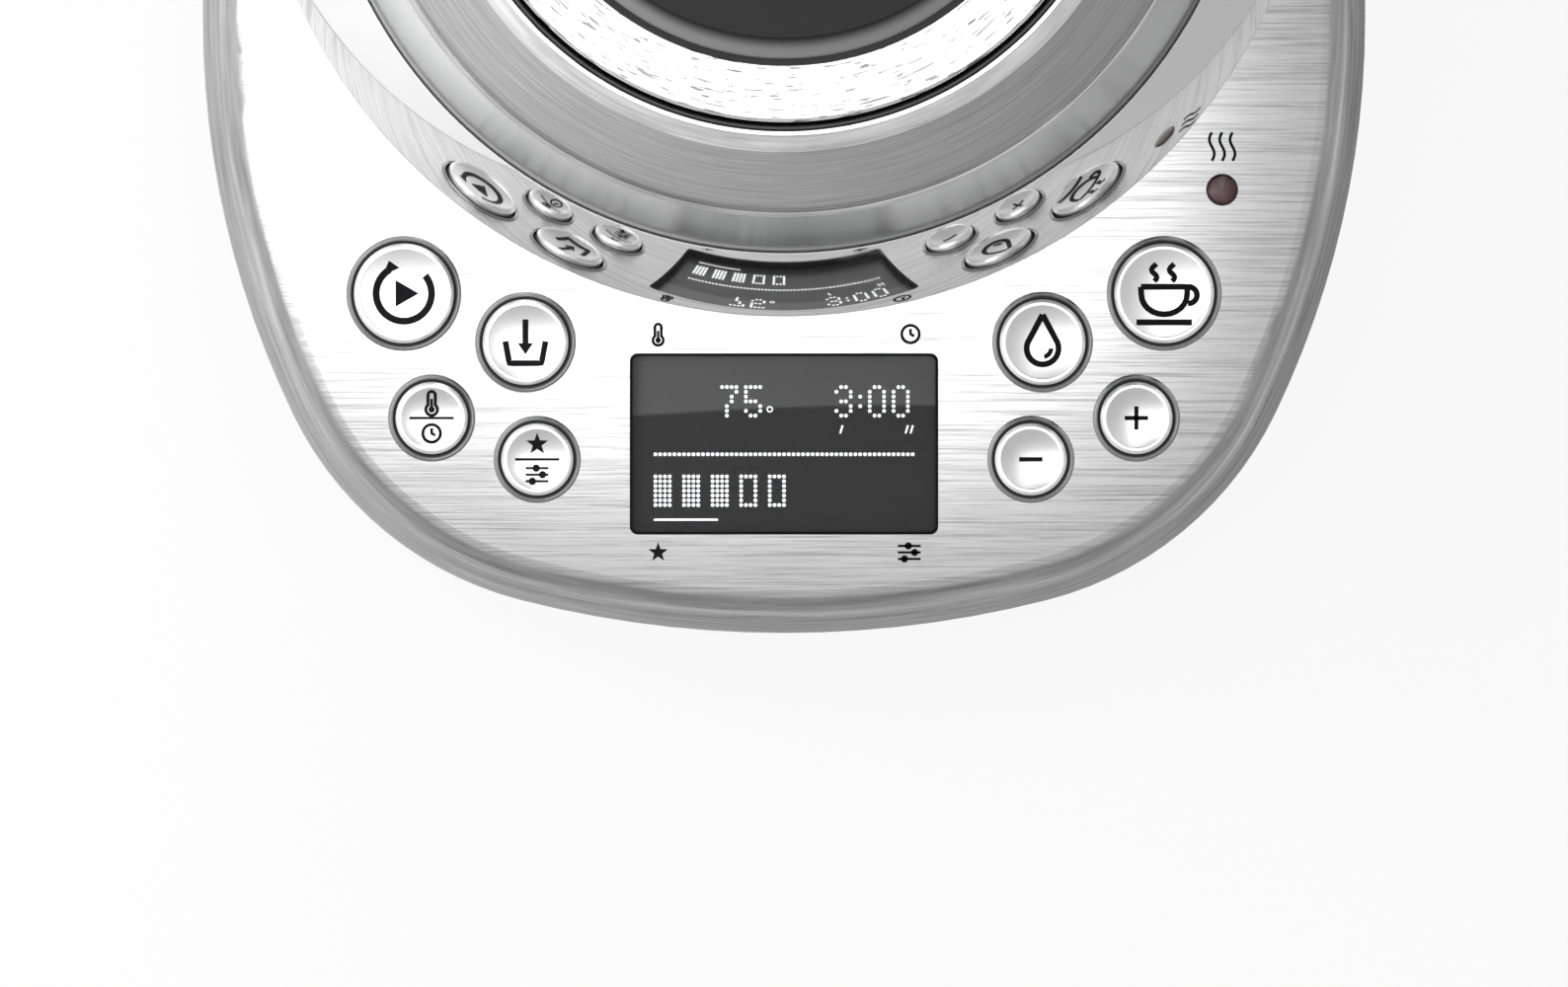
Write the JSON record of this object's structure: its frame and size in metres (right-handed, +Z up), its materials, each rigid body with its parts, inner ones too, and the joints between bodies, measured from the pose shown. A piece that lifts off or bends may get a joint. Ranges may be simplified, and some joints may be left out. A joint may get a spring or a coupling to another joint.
{
  "type": "automatic tea maker",
  "caption": "Countertop tea maker: glass jug with a motor-lifted tea basket, steel collar, lid and handle, on a steel power base with display and push buttons.",
  "frame": {"origin": "on the table, under the middle of the whole machine's plan box; the jug's axis is 13.87 mm to the left (-X) and 21.02 mm to the back (+Y) of it", "axes": "+Z up, the control panel faces -Y, the handle points to +X and the spout to -X"},
  "size_m": [0.2162, 0.2336, 0.2344],
  "materials": {
    "brushed_panel": "fine brushing across the panel",
    "brushed_collar": "circular brushing",
    "polished_steel": "mirror polish",
    "button_steel": "satin dish with bright rim",
    "plain_steel": "pressed",
    "screw_steel": "plated",
    "heater": "dull",
    "black_plastic": "fine grain",
    "handle_plastic": "satin grain",
    "gloss_black": "high gloss",
    "clear_glass": "clear",
    "display": "dark liquid-crystal face",
    "lamp_red": "dark red lens",
    "rubber_black": "matt",
    "board": "green solder mask",
    "ribbon": "flat cable",
    "contact_brass": "plain"
  },
  "bodies": {
    "base": {"base_cover": "brushed_panel", "base_tray": "black_plastic", "rubber_feet": "rubber_black", "base_screws": "screw_steel", "base_chassis": "black_plastic", "button_rings": "button_steel", "control_board": "board", "tact_switches": "black_plastic", "lcd_window": "clear_glass", "lcd_gasket": "rubber_black", "lcd_module": "display", "lamp_lens": "lamp_red", "lamp_led": "lamp_red", "power_board": "board", "ribbon_cable": "ribbon", "cord_inlet": "black_plastic", "base_connector": "black_plastic", "connector_contacts": "contact_brass"},
    "jug": {"jug_skirt": "polished_steel", "floor_cover": "black_plastic", "floor_screws": "screw_steel", "jug_connector": "black_plastic", "jug_pins": "contact_brass", "jug_floor": "plain_steel", "temp_sensor": "plain_steel", "heating_element": "heater", "floor_gasket": "rubber_black", "jug_glass": "clear_glass", "collar_gasket": "rubber_black", "jug_collar": "brushed_collar", "collar_liner": "black_plastic", "jug_spout": "polished_steel", "lift_post": "plain_steel", "lead_bushes": "contact_brass", "lift_motor": "screw_steel", "drive_belt": "rubber_black", "handle_front": "handle_plastic", "handle_rear": "handle_plastic", "handle_screws": "screw_steel"},
    "lid": {"lid_body": "black_plastic", "lid_seal": "rubber_black", "lid_ring": "brushed_collar", "lid_centre": "gloss_black", "lid_knob": "gloss_black"},
    "basket": {"basket_cup": "plain_steel", "basket_bracket": "black_plastic"},
    "basket_lid": {"basket_lid": "plain_steel"},
    "lift_screw": {"lead_screw": "screw_steel"},
    "motor_shaft": {"motor_pulley": "screw_steel"},
    "carriage": {"magnet_carriage": "screw_steel"},
    "start_button": {"start_button": "button_steel"},
    "tea_button": {"tea_button": "button_steel"},
    "steep_button": {"steep_button": "button_steel"},
    "water_button": {"water_button": "button_steel"},
    "set_button": {"set_button": "button_steel"},
    "plus_button": {"plus_button": "button_steel"},
    "custom_button": {"custom_button": "button_steel"},
    "minus_button": {"minus_button": "button_steel"}
  },
  "joints": [
    {"name": "start_press", "type": "slide", "parent": "base", "child": "start_button", "axis": [0, 0, -1], "range_m": [0, 0.0008], "stiffness_N_per_m": 1200, "springref_m": -0.001},
    {"name": "tea_press", "type": "slide", "parent": "base", "child": "tea_button", "axis": [0, 0, -1], "range_m": [0, 0.0008], "stiffness_N_per_m": 1200, "springref_m": -0.001},
    {"name": "steep_press", "type": "slide", "parent": "base", "child": "steep_button", "axis": [0, 0, -1], "range_m": [0, 0.0008], "stiffness_N_per_m": 1200, "springref_m": -0.001},
    {"name": "water_press", "type": "slide", "parent": "base", "child": "water_button", "axis": [0, 0, -1], "range_m": [0, 0.0008], "stiffness_N_per_m": 1200, "springref_m": -0.001},
    {"name": "set_press", "type": "slide", "parent": "base", "child": "set_button", "axis": [0, 0, -1], "range_m": [0, 0.0008], "stiffness_N_per_m": 1200, "springref_m": -0.001},
    {"name": "plus_press", "type": "slide", "parent": "base", "child": "plus_button", "axis": [0, 0, -1], "range_m": [0, 0.0008], "stiffness_N_per_m": 1200, "springref_m": -0.001},
    {"name": "custom_press", "type": "slide", "parent": "base", "child": "custom_button", "axis": [0, 0, -1], "range_m": [0, 0.0008], "stiffness_N_per_m": 1200, "springref_m": -0.001},
    {"name": "minus_press", "type": "slide", "parent": "base", "child": "minus_button", "axis": [0, 0, -1], "range_m": [0, 0.0008], "stiffness_N_per_m": 1200, "springref_m": -0.001},
    {"name": "jug_lift", "type": "slide", "parent": "base", "child": "jug", "axis": [0, 0, 1], "range_m": [0, 0.06]},
    {"name": "lid_lift", "type": "slide", "parent": "jug", "child": "lid", "axis": [0, 0, 1], "range_m": [0, 0.06]},
    {"name": "basket_lift", "type": "slide", "parent": "jug", "child": "basket", "axis": [0, 0, 1], "range_m": [0, 0.076]},
    {"name": "basket_lid_lift", "type": "slide", "parent": "basket", "child": "basket_lid", "axis": [0, 0, 1], "range_m": [0, 0.018]},
    {"name": "carriage_climb", "type": "slide", "parent": "jug", "child": "carriage", "axis": [0, 0, 1], "range_m": [0, 0.076]},
    {"name": "screw_turn", "type": "hinge", "parent": "jug", "child": "lift_screw", "pos_m": [0.04423, 0.02102, 0.1873], "axis": [0, 0, 1], "range_deg": [0, 3421]},
    {"name": "motor_turn", "type": "hinge", "parent": "jug", "child": "motor_shaft", "pos_m": [0.09593, 0.02102, 0.1873], "axis": [0, 0, 1], "range_deg": [0, 3421]}
  ],
  "couplings": [
    {"joint": "carriage_climb", "follows": "basket_lift", "ratio": 1},
    {"joint": "screw_turn", "follows": "basket_lift", "rad_per_m": 785.4},
    {"joint": "motor_turn", "follows": "basket_lift", "rad_per_m": 785.4}
  ]
}
